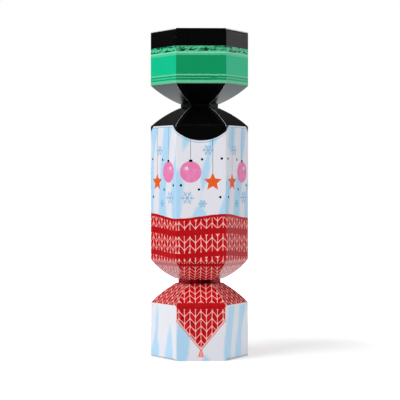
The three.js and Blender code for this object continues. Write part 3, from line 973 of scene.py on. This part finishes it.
def make_neck(sizes, which, bottom, top, waist_side, bulges, lip, slot):
    line = neck_profile(sizes, bottom, top, waist_side, bulges, lip)
    inner = offset(line, sizes.board)
    halves = [(point.x - sizes.slit) / ROOT3 for point in inner]
    outer_halves = [half + (outer.x - within.x) / ROOT3 * sizes.mitre
                    for half, outer, within in zip(halves, line, inner)]
    first = top + 2 * sizes.shoulder - run_lengths(line)[-1]
    for side, side_name in enumerate(SIDES):
        node = f"{which}_neck_strip_{side_name}"
        strip = make_strip(f"printed_{node}", side, (line, inner), even(outer_halves), first, 1,
                           printed(slot), even(halves))
        standing_in(strip, node, slot)


def at_end(flat, thick, face, inward):
    """A flap's printed and inside line, from heights below an end's face to heights in the frame."""
    return [[Vector((p.x, face - inward * p.y)) for p in line] for line in (flat, offset(flat, thick))]


def make_end_panel(sizes, name, face, inward, finishes):
    """The end panel, creased to the back panel; its ears reach past the front flap's crease."""
    crease = rounded([(APOTHEM, -BEND), (APOTHEM, 0), (0.8 * APOTHEM, 0)], RIM)[:-1]
    stops = [*(stop * MM for stop in (22, 18, 12, 6, 0, -6, -12, -18, -22)), -LAST_ROW, RIM - APOTHEM]
    flat = crease + [Vector((stop, 0)) for stop in stops]
    tuck = sizes.tuck_width / 2
    rows = []
    for row, point in enumerate(flat):
        half = (2 * (APOTHEM - EAR_CLEAR) - abs(point.x)) / ROOT3
        if row < len(crease):
            half = (APOTHEM - sizes.crease) / ROOT3 - BACK_CLEAR
        rows.append([*spread(-half, -tuck, 2)[:2], *spread(-tuck, tuck, 8), *spread(tuck, half, 2)[1:]])

    def present(row, column):
        return row < len(flat) - 2 or not 2 <= column < len(rows[0]) - 3

    lines = at_end(flat, sizes.board, face, inward)
    return make_strip(name, BACK, lines, rows, face + inward * BEND, -inward, finishes, present=present)


def make_dust_flap(sizes, name, side, face, inward, finishes, bend=RIM):
    """A dust flap, creased to its panel and folded in under the end panel."""
    under, thick = -UNDER_PANEL, sizes.board
    flat = rounded([(APOTHEM, under - BEND), (APOTHEM, under), (0.8 * APOTHEM, under)], bend)[:-1]
    flat += [Vector((APOTHEM - stop * MM, under)) for stop in (1.0, 3.0, 5.5, 8.0, 10.5, 13.0)]
    root, tip = SIDE / 2 - sizes.flap_inset, sizes.dust_tip / 2
    shares = [(APOTHEM - point.x - thick) / (sizes.dust_depth - thick) for point in flat]
    rows = even(root - (root - tip) * min(1, max(0, share)) for share in shares)
    lines = at_end(flat, thick, face, inward)
    return make_strip(name, side, lines, rows, face + inward * (UNDER_PANEL + BEND), -inward, finishes)


def make_front_flap(sizes, name, face, inward, lean, finishes):
    """The flap on the front edge of an end panel, which goes behind the front panel."""
    edge = APOTHEM - RIM
    crease = rounded([(LAST_ROW + 0.01 * MM, 0), (edge, 0), (edge, -2 * RIM)], RIM)[:-1]
    shares = (0.06, 0.2, 0.35, 0.5, 0.62, 0.73, 0.83, 0.91, 0.97, 1.0)
    runs = [sizes.tuck_depth * share for share in shares]
    flat = crease + [Vector((edge - math.sin(lean) * run, -RIM - math.cos(lean) * run)) for run in runs]
    half = sizes.tuck_width / 2 - TUCK_CLEAR
    narrowing = [max(0, 1 - math.sqrt((1 - share) * 2)) for share in shares]
    rows = even([half] * len(crease) + [half - sizes.tuck_taper * n * n for n in narrowing])
    return make_strip(name, FRONT, at_end(flat, -sizes.board, face, inward), rows, face, -1, finishes)


def make_glue_flap(sizes, part, finish):
    """The flap inside the seam panel, its two ends cut at a slant."""
    node, slope = f"{part}_glue_flap", 0.35
    low, high = (corner[2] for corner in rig.box(node))
    out = APOTHEM - sizes.board - GLUE_CLEAR
    start = -(out - sizes.board) / ROOT3 + GLUE_CLEAR
    stops = [start + sizes.glue_width * share for share in (0, 0.2, 0.5, 0.8, 1)]
    levels = spread(0, 1, 12)

    def place(row, column):
        slant = slope * (stops[column] - start)
        z = low + slant + (high - low - 2 * slant) * levels[row]
        outer, within = (plan(SEAM_SIDE, away, stops[column]) for away in (out, out - sizes.board))
        return (*outer, z), (*within, z), (stops[column], z)

    flap = board(f"board_{node}", len(levels), len(stops), place, (finish, finish))
    standing_in(flap, node, "raw_board")


# Geometry nodes


def geometry_tree(name, **inputs):
    """A new tree and its inputs by name; each has a number, a vector, or None for a material."""
    kinds = {float: "NodeSocketFloat", tuple: "NodeSocketVector", type(None): "NodeSocketMaterial"}
    graph = Graph(bpy.data.node_groups.new(name, "GeometryNodeTree"))
    for way in ("INPUT", "OUTPUT"):
        graph.tree.interface.new_socket("Geometry", in_out=way, socket_type="NodeSocketGeometry")
    for label, default in inputs.items():
        kind = kinds[type(default)]
        socket = graph.tree.interface.new_socket(label, in_out="INPUT", socket_type=kind)
        if default is not None:
            socket.default_value = default
    entry = graph.node("NodeGroupInput")
    given = {socket.name.lower(): Value(graph, socket) for socket in entry.outputs if socket.name}
    return graph, SimpleNamespace(**given)


def closed_tree(graph, shape, material):
    """The tree, ended as real, smooth mesh of one material."""
    for kind in ("GeometryNodeRealizeInstances", "GeometryNodeSetShadeSmooth"):
        shape = graph.value(kind, shape)
    graph.node("NodeGroupOutput", graph.value("GeometryNodeSetMaterial", Geometry=shape, Material=material))
    return graph.tree


def pushed(graph, shape, depth):
    """The shape with its points moved along their normals."""
    push = graph.value("ShaderNodeVectorMath", Vector=graph.value("GeometryNodeInputNormal"), Scale=depth,
                       settings={"operation": "SCALE"})
    return graph.value("GeometryNodeSetPosition", Geometry=shape, Offset=push)


def grown(name, tree, start=None, **inputs):
    """Runs a tree on an object and keeps the result as a plain mesh."""
    maker = linked(name + "_maker", start or bpy.data.meshes.new(name))
    modifier = maker.modifiers.new("Shape", "NODES")
    modifier.node_group = tree
    sockets = {s.name: s.identifier for s in tree.interface.items_tree if s.in_out == "INPUT"}
    for label, value in inputs.items():
        modifier[sockets[label]] = value
    result = plain_result(maker)
    result.name = name
    return linked(name, result)


def tie_tree():
    """A band of fine cords swept round a hexagon with round corners."""
    graph, given = geometry_tree("Neck tie", Apothem=0.01, Corner=0.001, Thickness=0.0007, Height=0.0022,
                                 Cord=0.0005, Level=0.0, Material=None)
    thick = given.thickness

    def softened(curve, radius, steps, count):
        turned = graph.value("GeometryNodeFilletCurve", Curve=curve, Count=steps, Radius=radius,
                             settings={"mode": "POLY"})
        return graph.value("GeometryNodeResampleCurve", Curve=turned, Count=count,
                           settings={"mode": "COUNT"})

    ring = graph.value("GeometryNodeCurvePrimitiveCircle", Resolution=6,
                       Radius=(given.apothem + thick * 0.5) * (2 / ROOT3), settings={"mode": "RADIUS"})
    path = softened(ring, given.corner - thick * 0.5, 8, 216)
    section = graph.value("GeometryNodeCurvePrimitiveQuadrilateral", Width=thick * 0.8,
                          Height=given.height * 0.96)
    profile = softened(section, thick * 0.36, 4, 52)
    band = graph.value("GeometryNodeCurveToMesh", Curve=path, Profile_Curve=profile)
    z = graph.split(graph.value("GeometryNodeInputPosition"))[2]
    corded = pushed(graph, band, (z * (2 * math.pi) / given.cord).cosine() * thick * 0.09)
    lift = graph.vector(0.0, 0.0, given.level)
    raised = graph.value("GeometryNodeTransform", Geometry=corded, Translation=lift)
    return closed_tree(graph, raised, given.material)


def seal_tree():
    """A crimped seal: a thin slab with ridges across it and a toothed cut edge."""
    graph, given = geometry_tree("Crimped seal", Size=(0.05, 0.0008, 0.008), Middle=(0, 0, 0),
                                 Turn=(0, 0, 0), Pitch=0.0013, Tooth=0.0005, Material=None)
    wide, thick, tall = graph.split(given.size)
    slab = graph.value("GeometryNodeMeshCube", Size=graph.vector(wide, thick * 0.45, tall - given.tooth),
                       Vertices_X=240, Vertices_Y=2, Vertices_Z=9)
    x, _, z = graph.split(graph.value("GeometryNodeInputPosition"))
    inner = (tall * 0.5 - abs(z)).rise(0.0003, 0.0012)
    ridge = (x * (2 * math.pi) / given.pitch).sine() * thick * 0.25 * inner
    tooth = abs((x / given.pitch) % 1 - 0.5) * 2 * given.tooth * z.rise(tall * 0.3, tall * 0.48)
    shaped = graph.value("GeometryNodeSetPosition", Geometry=slab, Offset=graph.vector(0.0, ridge, tooth))
    placed = graph.value("GeometryNodeTransform", Geometry=shaped, Translation=given.middle,
                         Rotation=given.turn)
    return closed_tree(graph, placed, given.material)


def bear_tree():
    """The moulded bear, made a little uneven by a fixed noise."""
    graph, given = geometry_tree("Gummy bear", Unevenness=0.0001, Seed=0.0, Material=None)
    rough = graph.value("ShaderNodeTexNoise", Vector=graph.value("GeometryNodeInputPosition"), W=given.seed,
                        Scale=220.0, Detail=1.0, settings={"noise_dimensions": "4D"})
    uneven = pushed(graph, given.geometry, (rough - 0.75) * given.unevenness)
    return closed_tree(graph, uneven, given.material)


# Bag and bears


def make_film(bag, material):
    """The film tube: round, flattened into its seals, with wrinkles and soft sags over the bears."""
    low, high = (Vector(corner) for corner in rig.box("bag_film_tube"))
    floor, top, radius, wide = low.z, high.z, high.y, high.x
    flat = 0.9 * MM
    shapes = [  # level, half the width and half the depth
        (floor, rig.box("bag_bottom_seal")[1][0], flat), (floor + 0.25 * MM, 0.94 * radius, 0.45 * radius),
        (floor + 0.6 * MM, 0.965 * radius, 0.8 * radius), (floor + 1.5 * MM, radius, radius),
        (top - 8 * MM, radius, radius), (top - 4.4 * MM, radius + 0.4 * (wide - radius), 0.78 * radius),
        (top - 1.6 * MM, radius + 0.8 * (wide - radius), 0.35 * radius), (top, wide, flat),
    ]
    rings = []
    for start, end in zip(shapes, shapes[1:]):
        steps = max(1, round((end[0] - start[0]) / FILM_ROW))
        rings += [[a + (b - a) * i / steps for a, b in zip(start, end)] for i in range(steps)]
    rings.append(shapes[-1])
    angles = [2 * math.pi * step / FILM_COLUMNS for step in range(FILM_COLUMNS)]
    turns = [(math.cos(a), math.sin(a)) for a in angles]
    shape = bmesh.new()

    def crush(c, s, z):
        """How far the film is pushed in at a place."""
        slack = max(0, min(1, (z - floor) / LOW_SLACK, (top - z) / HIGH_SLACK))
        broad, fine = Vector((c * 2.2, s * 2.2, z * 190)), Vector((c * 6, s * 6, z * 420))
        return max(0, bag.wrinkle * slack * (0.55 + noise.noise(broad) + 0.5 * noise.noise(fine)))

    def point(across, deep, z, c, s):
        pushed_in = crush(c, s, z)
        return shape.verts.new(((across - pushed_in) * c, max(0, deep - pushed_in) * s, z))

    def skin(inset):
        return [[point(across - inset, deep - inset, z, c, s) for c, s in turns]
                for z, across, deep in rings]

    outer, inner = skin(0), skin(bag.film * 0.5)
    pairs = [*zip(outer, outer[1:]), *zip(inner, inner[1:]), (outer[0], inner[0]), (outer[-1], inner[-1])]
    for row, above in pairs:
        for i in range(FILM_COLUMNS):
            j = (i + 1) % FILM_COLUMNS
            shape.faces.new((row[i], row[j], above[j], above[i]))
    bmesh.ops.recalc_face_normals(shape, faces=shape.faces)
    mesh = mesh_of("wrinkled_film_tube", shape)
    mesh.shade_smooth()
    standing_in(linked("wrinkled_film_tube", mesh, material), "bag_film_tube", "clear_film")


def bear_mesh():
    """A moulded gummy bear, head towards +X, belly towards +Z, its back flat, in a unit box."""
    lumps = (  # place and half sizes of body, head, ear, arm, leg and muzzle, in millimetres
        (-1.4, 0, 0, 7.8, 6.2, 5.8), (5.0, 0, 0.2, 5.2, 5.4, 5.4), (8.3, 3.2, 0.3, 2.6, 2.4, 2.4),
        (0.9, 4.3, 2.2, 3.4, 2.4, 3.2), (-6.9, 3.3, 1.2, 4.0, 3.3, 4.2), (7.4, 0, 4.0, 1.7, 2.0, 1.6),
    )
    shape = bmesh.new()
    for x, aside, z, *halves in lumps:
        for y in (aside, -aside) if aside else (0,):
            place = Matrix.Translation((x * MM, y * MM, z * MM))
            matrix = place @ Matrix.Diagonal((*(half * MM for half in halves), 1))
            bmesh.ops.create_icosphere(shape, subdivisions=3, radius=1, matrix=matrix)
    maker = linked("bear_maker", mesh_of("bear", shape))
    joined = maker.modifiers.new("Join", "REMESH")
    joined.mode, joined.voxel_size = "VOXEL", 0.55 * MM
    soft = maker.modifiers.new("Soften", "SMOOTH")
    soft.factor, soft.iterations = 0.5, 5
    bear = plain_result(maker)

    back, squashed = -4.0 * MM, 0.08
    eyes, eye_size, eye_depth = ((7.9, 1.7), (7.9, -1.7)), 0.9 * MM, 0.35 * MM
    for vertex in bear.vertices:
        place = vertex.co
        if place.z < back:
            place.z = back + (place.z - back) * squashed
        for x, y in eyes:
            away = math.hypot(place.x - x * MM, place.y - y * MM)
            if place.z > 0 and away < eye_size:
                place.z -= eye_depth * (1 - away / eye_size)
    low, high = (Vector([pick(v.co[i] for v in bear.vertices) for i in range(3)]) for pick in (min, max))
    size = high - low
    for vertex in bear.vertices:
        vertex.co = [(vertex.co[i] - (low[i] + high[i]) / 2) / size[i] for i in range(3)]
    return bear


# Stage


def rays(graph):
    """1 for what the camera sees directly or through film, and 1 for what it sees in gloss."""
    path = graph.node("ShaderNodeLightPath").outputs
    seen, through, gloss = (
        Value(graph, path[f"Is {kind} Ray"]) for kind in ("Camera", "Transmission", "Glossy"))
    return seen.high(through), gloss


def make_floor():
    """A pale floor that looks brighter away from the carton, and in gloss is bright only near it."""
    paint = Paint("studio_floor")
    seen, gloss = rays(paint)
    x, y, _ = paint.split(paint.object_place())
    away = distance(x, y)
    plain = paint.value("ShaderNodeBsdfDiffuse", Color=(0.8, 0.8, 0.81))
    # The floor's own glow is weaker near the carton and grows away from it: painted shade round the carton, which lets
    # the lamps' real shadow show deep at its base and fade out farther off.
    glow = paint.value("ShaderNodeEmission", Color=(1, 1, 1), Strength=0.32 + away.rise(0.09, 0.29) * 0.8)
    bright = paint.value("ShaderNodeAddShader", plain, glow)
    direct = paint.value("ShaderNodeMixShader", seen, plain, bright)
    # In gloss the floor is a glow alone, bright near the carton but dark in front of it and brighter to its right: a
    # glow seen only in reflections, shaped to paint the reflections on the carton's lower cones.
    near = (1 - away.rise(0.35, 0.9)) * (1 - (-y / away).rise(0.35, 0.75))
    right = (x / away).rise(0.45, 0.75) * 0.36
    in_gloss = paint.value("ShaderNodeEmission", Color=(0.91, 1.0, 1.03),
                           Strength=(0.02 + near * 0.95).high(right))
    paint.node("ShaderNodeOutputMaterial", paint.value("ShaderNodeMixShader", gloss, direct, in_gloss))
    shape = bmesh.new()
    bmesh.ops.create_grid(shape, x_segments=8, y_segments=8, size=12)
    mesh = mesh_of("floor", shape)
    mesh.transform(Matrix.Translation((0, 0, -0.05 * MM)))
    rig.stage(linked("floor", mesh, paint.material))


def make_surroundings(scene, sky):
    """White to the camera and even light all round; in gloss a dim room with two pale sides."""
    scene.world = bpy.data.worlds.new("surroundings")
    scene.world.use_nodes = True
    graph = Graph(scene.world.node_tree)
    seen, gloss = rays(graph)
    x, y, z = graph.split(graph.value("ShaderNodeTexCoord", output="Generated"))
    behind = y.rise(0.80, 0.93) * 0.25
    right = x.rise(0.5, 0.72) * y.rise(-0.2, 0.25) * 0.4
    ceiling = z.rise(0.25, 0.6) * (0.06 - x.rise(-0.1, 0.25) * 0.045)
    room = 0.03 + ceiling + (1 - z.rise(0.14, 0.36)) * behind.high(right)
    light = seen.high(gloss * room + (1 - gloss) * sky)
    graph.node("ShaderNodeOutputWorld", graph.value("ShaderNodeBackground", Color=(1, 1, 1), Strength=light))


def make_lamp(name, power, place, size):
    data = bpy.data.lights.new(name, "AREA")
    data.energy, data.size, data.shape = power, size, "DISK"
    lamp = linked(name, data)
    lamp.location, lamp.visible_glossy = place, False
    lamp.rotation_euler = (LAMP_AIM - Vector(place)).to_track_quat("-Z", "Y").to_euler()


# Operators


class MakeWalls(bpy.types.Operator):
    """Makes the cap, body and foot walls"""
    bl_idname = "cracker.make_walls"
    bl_label = "Make the walls"

    def execute(self, context):
        sizes = context.scene.cracker_board
        meet = 2 * sizes.shoulder
        make_wall(sizes, "foot", "body_print", 0.0, FOOT_TOP * MM - meet, low_end=True)
        make_wall(sizes, "body", "body_print", BODY_BOTTOM * MM + meet, BODY_TOP * MM - meet)
        make_wall(sizes, "cap", "cap_print", CAP_BOTTOM * MM + meet, TOP, high_end=True)
        return {"FINISHED"}


class MakeNecks(bpy.types.Operator):
    """Makes the twelve neck strips"""
    bl_idname = "cracker.make_necks"
    bl_label = "Make the neck strips"

    def execute(self, context):
        sizes = context.scene.cracker_board
        make_neck(sizes, "lower", FOOT_TOP * MM, BODY_BOTTOM * MM, sizes.lower_waist,
                  (sizes.foot_bulge, sizes.shoulder_bulge), sizes.lower_lip, "knit_print")
        make_neck(sizes, "upper", BODY_TOP * MM, CAP_BOTTOM * MM, sizes.upper_waist,
                  (sizes.upper_bulge, sizes.upper_bulge), sizes.upper_lip, "black_print")
        return {"FINISHED"}


class MakeTies(bpy.types.Operator):
    """Makes the two neck ties"""
    bl_idname = "cracker.make_ties"
    bl_label = "Make the ties"

    def execute(self, context):
        sizes, bag = context.scene.cracker_board, context.scene.cracker_bag
        tree = tie_tree()
        for which, waist_side, slot, ink, foil in (
                ("lower", sizes.lower_waist, "crimson_tie", bag.crimson, 0.85),
                ("upper", sizes.upper_waist, "black_tie", bag.black_tie, 0.0)):
            node = f"{which}_neck_tie"
            low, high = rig.box(node)
            apothem = waist_side * ROOT3 / 2 + TIE_CLEAR
            tie = grown(f"corded_{node}", tree, Apothem=apothem, Corner=sizes.tie_corner,
                        Thickness=high[1] - apothem, Height=high[2] - low[2], Cord=sizes.tie_cord,
                        Level=(low[2] + high[2]) / 2, Material=finished(slot, tie_finish, ink, foil))
            standing_in(tie, node, slot)
        return {"FINISHED"}


class MakeLid(bpy.types.Operator):
    """Makes the lid, its tuck flap and the four dust flaps under it"""
    bl_idname = "cracker.make_lid"
    bl_label = "Make the lid and top flaps"

    def execute(self, context):
        sizes, black = context.scene.cracker_board, printed("black_print")
        lid = make_end_panel(sizes, "printed_top_lid", TOP, -1, black)
        standing_in(lid, "top_lid", "black_print", None)
        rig.blend(lid, CARTON, "lid", start=(0, APOTHEM, TOP - RIM), end=(0, APOTHEM - RIM, TOP))
        tuck = make_front_flap(sizes, "printed_tuck_flap", TOP, -1, sizes.tuck_lean, black)
        standing_in(tuck, "lid_tuck_flap", "black_print", None)
        edge = RIM - APOTHEM
        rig.blend(tuck, "lid", "tuck_flap", start=(0, edge + RIM, TOP), end=(0, edge, TOP - RIM))
        under = TOP - UNDER_PANEL
        for side in DUST_SIDES:
            node = f"top_dust_flap_{SIDES[side]}"
            flap = make_dust_flap(sizes, f"printed_{node}", side, TOP, -1, black)
            standing_in(flap, node, "black_print", None)
            start, end = (*plan(side, APOTHEM, 0), under - RIM), (*plan(side, APOTHEM - RIM, 0), under)
            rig.blend(flap, CARTON, f"dust_flap_{SIDES[side]}", start=start, end=end)
        return {"FINISHED"}


class MakeBase(bpy.types.Operator):
    """Makes the glued base and the glue flaps of the side seam"""
    bl_idname = "cracker.make_base"
    bl_label = "Make the base"

    def execute(self, context):
        sizes, white = context.scene.cracker_board, printed("base_print")
        raw = finished("raw_board", raw_board)
        base = make_end_panel(sizes, "printed_base_panel", 0.0, 1, white)
        standing_in(base, "base_panel", "body_print")
        front = make_front_flap(sizes, "board_base_glued_flap", 0.0, 1, 0.0, (raw, raw))
        standing_in(front, "base_glued_flap", "raw_board")
        for side in DUST_SIDES:
            node = f"base_dust_flap_{SIDES[side]}"
            flap = make_dust_flap(sizes, f"board_{node}", side, 0.0, 1, white, BASE_RIM)
            standing_in(flap, node, "raw_board")
        for part in ("cap", "body", "foot"):
            make_glue_flap(sizes, part, raw)
        return {"FINISHED"}


class MakeBag(bpy.types.Operator):
    """Makes the film bag with its seals and back seam"""
    bl_idname = "cracker.make_bag"
    bl_label = "Make the bag"

    def execute(self, context):
        bag, film = context.scene.cracker_bag, finished("clear_film", clear_film)
        make_film(bag, film)
        tree = seal_tree()
        for node, turn in (("bag_top_seal", (0, 0, 0)), ("bag_bottom_seal", (-math.pi / 2, 0, 0)),
                           ("bag_back_seam", (0, math.pi / 2, 0))):
            low, high = (Vector(c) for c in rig.box(node))
            size = Matrix.Rotation(turn[0], 3, "X") @ Matrix.Rotation(turn[1], 3, "Y") @ (high - low)
            seal = grown(f"crimped_{node}", tree, Size=tuple(abs(c) for c in size), Turn=turn,
                         Pitch=bag.crimp, Middle=tuple((low + high) / 2), Tooth=bag.tooth, Material=film)
            standing_in(seal, node, "clear_film")
        return {"FINISHED"}


class MakeBears(bpy.types.Operator):
    """Makes the gummy bears in the bag"""
    bl_idname = "cracker.make_bears"
    bl_label = "Make the gummy bears"

    def execute(self, context):
        bag = context.scene.cracker_bag
        slots = [f"gummy_{ink}" for ink in ("red", "green", "yellow", "orange", "clear")]
        shape, tree = bear_mesh(), bear_tree()
        sized = Matrix.Diagonal((*BEAR_SIZE, 1))
        names = sorted(name for name in frame["nodes"] if name.startswith("gummy_bear_"))
        for number, node in enumerate(names, 1):
            slot = slots[number % len(slots)]
            low, high = (Vector(c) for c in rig.box(node))
            middle = (low + high) / 2
            layer_turn = ((number - 1) // BEARS_IN_LAYER) * TURN
            turn = Matrix.Rotation(layer_turn, 4, "Z")
            if (Matrix.Rotation(-layer_turn, 3, "Z") @ middle).x < -1 * MM or number % 2:
                turn = turn @ Matrix.Rotation(math.pi, 4, "Z")
            if number % 3 == 0:
                turn = turn @ Matrix.Rotation(math.pi, 4, "X")
            bear = shape.copy()
            bear.transform(Matrix.Translation(middle) @ turn @ sized)
            piece = grown(f"moulded_{node}", tree, bear, Unevenness=bag.unevenness, Seed=float(number),
                          Material=finished(slot, gummy, getattr(bag, slot)))
            standing_in(piece, node, slot)
        return {"FINISHED"}


class MakeStage(bpy.types.Operator):
    """Makes the floor, the surroundings, the lamps and the camera"""
    bl_idname = "cracker.make_stage"
    bl_label = "Make the stage"

    def execute(self, context):
        scene, studio = context.scene, context.scene.cracker_studio
        make_floor()
        make_surroundings(scene, studio.sky)
        make_lamp("key", studio.key, (-0.75, -0.60, 0.92), 0.7)
        make_lamp("fill", studio.fill, (1.2, -0.15, 0.5), 1.0)
        data = bpy.data.cameras.new("camera")
        data.lens, data.sensor_width = studio.lens, 36
        camera = linked("camera", data)
        across, back = math.sin(studio.swing) * studio.distance, math.cos(studio.swing) * studio.distance
        camera.location = (-across, -back, studio.height)
        camera.rotation_euler = (math.pi / 2 - studio.tilt, 0, -studio.swing - studio.aside)
        scene.camera = camera
        scene.view_settings.view_transform = "Standard"
        return {"FINISHED"}


class CrackerPanel(bpy.types.Panel):
    """Sizes, colours and the making of each group of pieces"""
    bl_idname = "VIEW3D_PT_cracker"
    bl_label = "Cracker carton"
    bl_space_type = "VIEW_3D"
    bl_region_type = "UI"
    bl_category = "Cracker"

    def draw(self, context):
        for operator in OPERATORS:
            self.layout.operator(operator.bl_idname)
        for label in SETTINGS:
            group = getattr(context.scene, label)
            box = self.layout.box()
            for name in group.bl_rna.properties.keys():
                if name not in ("rna_type", "name"):
                    box.prop(group, name)


SETTINGS = {"cracker_board": BoardSettings, "cracker_print": PrintSettings, "cracker_bag": BagSettings,
            "cracker_studio": StudioSettings}
OPERATORS = (MakeWalls, MakeNecks, MakeTies, MakeLid, MakeBase, MakeBag, MakeBears, MakeStage)
CLASSES = (*SETTINGS.values(), *OPERATORS, CrackerPanel)


def register():
    for kind in CLASSES:
        bpy.utils.register_class(kind)
    for label, kind in SETTINGS.items():
        setattr(bpy.types.Scene, label, bpy.props.PointerProperty(type=kind))


def unregister():
    for label in SETTINGS:
        delattr(bpy.types.Scene, label)
    for kind in reversed(CLASSES):
        bpy.utils.unregister_class(kind)


def main():
    register()
    for operator in OPERATORS:
        group, name = operator.bl_idname.split(".")
        getattr(getattr(bpy.ops, group), name)()
    boxes = {"cad": [list(corner) for corner in CAD_BOX], "visual": [list(corner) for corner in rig.bounds()]}
    with open("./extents.json", "w") as file:
        json.dump(boxes, file, indent=1)


if __name__ == "__main__":
    main()
